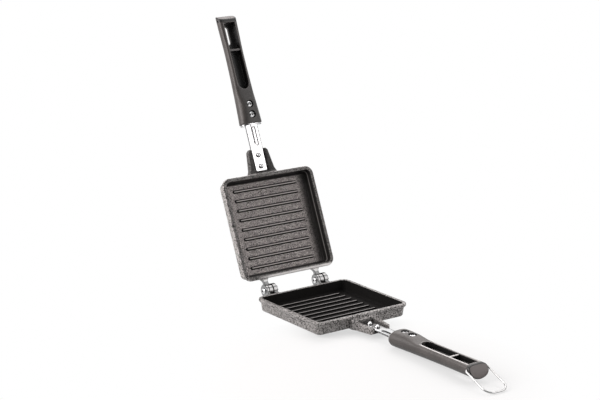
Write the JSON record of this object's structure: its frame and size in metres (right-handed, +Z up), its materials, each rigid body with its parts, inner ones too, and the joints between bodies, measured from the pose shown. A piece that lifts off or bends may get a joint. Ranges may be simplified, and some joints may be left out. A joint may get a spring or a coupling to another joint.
{
  "type": "pie iron",
  "caption": "Square pie iron for the hob: ribbed shallow pans hinged at the back, each on a riveted steel strip with a moulded handle, and a wire bail that locks the handles together.",
  "frame": {"origin": "centre of the base pan's outer face, which stands on the hob", "axes": "+X along the hinge, +Y from the handle towards the hinge, +Z up out of the base pan"},
  "size_m": [0.14, 0.556, 0.3554],
  "materials": {
    "pan_casting": "hammered grey enamel outside, dark non-stick coat inside",
    "moulding": "satin heat-proof phenolic moulding",
    "bright_steel": "bright nickel-plated steel"
  },
  "bodies": {
    "base": {"base_pan": "pan_casting", "base_strip": "bright_steel", "base_rivets": "bright_steel", "base_ferrule": "bright_steel", "base_handle": "moulding", "base_handle_screws": "bright_steel", "base_handle_nuts": "bright_steel", "hinge_bolt_left": "bright_steel", "hinge_bolt_right": "bright_steel", "hinge_washer_left": "bright_steel", "hinge_washer_right": "bright_steel", "hinge_nut_left": "bright_steel", "hinge_nut_right": "bright_steel"},
    "lid": {"lid_pan": "pan_casting", "lid_strip": "bright_steel", "lid_rivets": "bright_steel", "lid_ferrule": "bright_steel", "lid_handle": "moulding", "lid_handle_screws": "bright_steel", "lid_handle_nuts": "bright_steel"},
    "bail": {"bail": "bright_steel"}
  },
  "joints": [
    {"name": "lid_hinge", "type": "hinge", "parent": "base", "child": "lid", "pos_m": [0, 0.08195, 0.0171], "axis": [1, 0, 0], "range_deg": [0, 113]},
    {"name": "bail_pivot", "type": "hinge", "parent": "base", "child": "bail", "pos_m": [0, -0.27255, 0.0065], "axis": [1, 0, 0], "range_deg": [-149, 136]}
  ]
}
